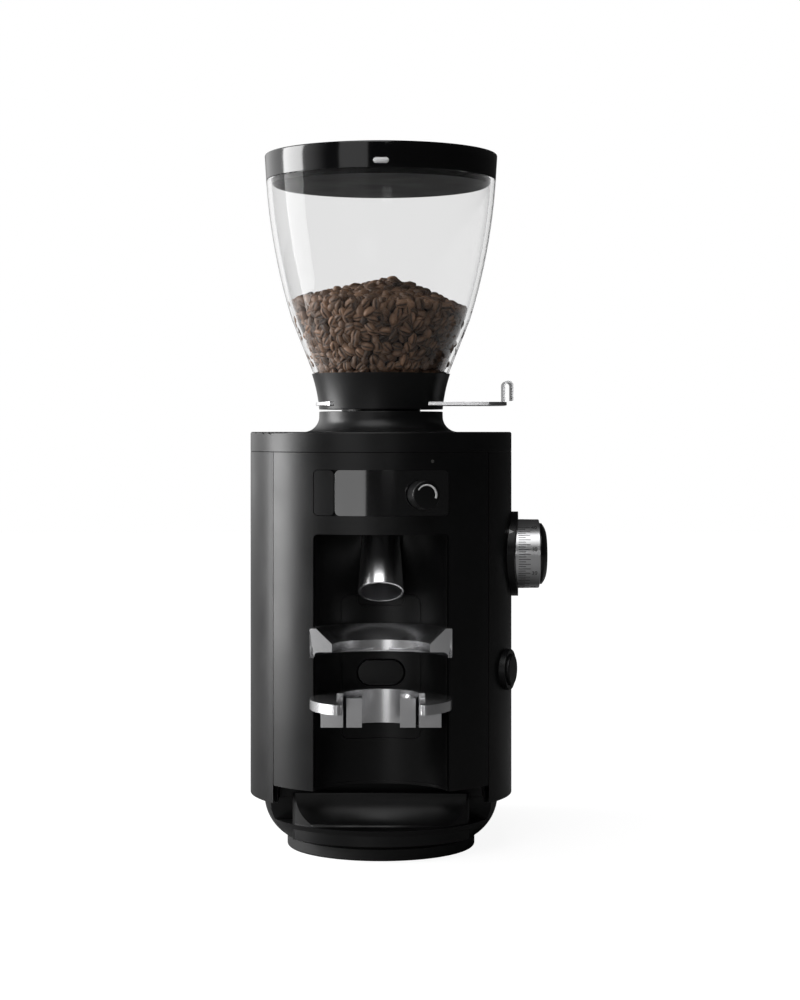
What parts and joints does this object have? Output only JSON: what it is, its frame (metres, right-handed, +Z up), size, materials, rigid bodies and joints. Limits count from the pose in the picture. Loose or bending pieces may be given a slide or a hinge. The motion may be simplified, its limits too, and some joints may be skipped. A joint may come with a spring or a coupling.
{
  "type": "burr coffee grinder",
  "caption": "Electric burr coffee grinder with a clear bean hopper, portafilter niche with spout and holder, side grind dial, front controls and pull-out grounds tray.",
  "frame": {"origin": "underside of the foot on the bean and burr axis", "axes": "+Z up, -Y to the front with the niche, +X to the side with the grind dial"},
  "size_m": [0.1803, 0.2527, 0.4195],
  "materials": {
    "satin_black": "satin moulded black",
    "matte_black": "fine matte black",
    "gloss_black": "polished black",
    "clear": "clear polished",
    "chrome": "polished",
    "satin_metal": "satin polished casting",
    "dial_metal": "turned and brushed",
    "steel": "machined",
    "casting": "as cast",
    "iron": "laminated",
    "motor_paint": "enamelled",
    "board": "circuit board",
    "switch_body": "moulded",
    "bronze": "sintered",
    "rubber": "moulded rubber",
    "light": "clear light pipe"
  },
  "bodies": {
    "housing": {"side_shell": "satin_black", "front_panel": "satin_black", "top_cap": "satin_black", "niche_liner": "satin_black", "tray_bay": "satin_black", "base_pan": "satin_black", "dial_pad": "satin_black", "power_bezel": "matte_black", "control_frame": "matte_black", "mains_inlet": "matte_black", "display_window": "gloss_black", "spout": "chrome", "lower_bearing": "steel", "upper_bearing": "steel", "pan_screws": "steel", "post_screws": "steel", "bracket_screws": "steel", "bracket_posts": "steel", "upper_end_bell": "casting", "lower_end_bell": "casting", "grinding_chamber": "casting", "motor_bracket": "casting", "board_bracket": "casting", "stator": "iron", "motor_can": "motor_paint", "display_board": "board", "power_board": "board", "start_switch": "switch_body", "key_switch": "switch_body", "power_switch": "switch_body", "selector_encoder": "switch_body", "dial_bushing": "bronze", "foot_pad": "rubber", "hopper_seal": "rubber", "status_light": "light"},
    "hopper": {"hopper_collar": "matte_black", "bean_hopper": "clear"},
    "lid": {"hopper_lid": "gloss_black", "lid_plug": "matte_black"},
    "shutter": {"shutter_slide": "chrome"},
    "grind_dial": {"dial_ring": "dial_metal", "dial_cap": "gloss_black", "dial_shaft": "steel"},
    "burr_adjuster": {"upper_burr": "steel", "upper_burr_carrier": "casting"},
    "rotor": {"rotor_shaft": "steel", "rotor_core": "iron", "lower_burr_carrier": "casting", "lower_burr": "steel", "burr_nut": "steel"},
    "selector_stem": {"selector_shaft": "steel"},
    "selector": {"selector_knob": "matte_black"},
    "mode_key": {"mode_key": "matte_black"},
    "start_button": {"start_button": "matte_black"},
    "power_button": {"power_button": "matte_black"},
    "tray": {"grounds_tray": "satin_black"},
    "holder": {"holder_plate": "satin_black", "holder_screws": "steel", "holder_ring": "satin_metal", "holder_rest": "satin_metal"}
  },
  "joints": [
    {"name": "hopper_lift", "type": "slide", "parent": "housing", "child": "hopper", "axis": [0, 0, 1], "range_m": [0, 0.07]},
    {"name": "lid_lift", "type": "slide", "parent": "hopper", "child": "lid", "axis": [0, 0, 1], "range_m": [0, 0.06]},
    {"name": "shutter_push", "type": "slide", "parent": "hopper", "child": "shutter", "axis": [-1, 0, 0], "range_m": [0, 0.033]},
    {"name": "dial_turn", "type": "hinge", "parent": "housing", "child": "grind_dial", "pos_m": [0.0884, 0, 0.1767], "axis": [1, 0, 0], "range_deg": [0, 330]},
    {"name": "burr_lift", "type": "slide", "parent": "housing", "child": "burr_adjuster", "axis": [0, 0, 1], "range_m": [0, 0.0015]},
    {"name": "rotor_spin", "type": "hinge", "parent": "housing", "child": "rotor", "pos_m": [0, 0, 0.12], "axis": [0, 0, 1], "continuous": true},
    {"name": "selector_push", "type": "slide", "parent": "housing", "child": "selector_stem", "axis": [-0.284, 0.9588, 0], "range_m": [0, 0.001], "stiffness_N_per_m": 600},
    {"name": "selector_turn", "type": "hinge", "parent": "selector_stem", "child": "selector", "pos_m": [0.02414, -0.0815, 0.215], "axis": [0.284, -0.9588, 0], "continuous": true},
    {"name": "mode_key_push", "type": "slide", "parent": "housing", "child": "mode_key", "axis": [0, 1, 0], "range_m": [0, 0.0012], "stiffness_N_per_m": 600},
    {"name": "start_push", "type": "slide", "parent": "holder", "child": "start_button", "axis": [0, 1, 0], "range_m": [0, 0.0025], "stiffness_N_per_m": 500},
    {"name": "power_push", "type": "slide", "parent": "housing", "child": "power_button", "axis": [-0.9397, 0.342, 0], "range_m": [0, 0.002], "stiffness_N_per_m": 500},
    {"name": "tray_pull", "type": "slide", "parent": "housing", "child": "tray", "axis": [0, -1, 0], "range_m": [0, 0.08]},
    {"name": "holder_pull", "type": "slide", "parent": "housing", "child": "holder", "axis": [0, -1, 0], "range_m": [0, 0.06]}
  ],
  "couplings": [
    {"joint": "burr_lift", "follows": "dial_turn", "m_per_rad": 0.0002604}
  ]
}
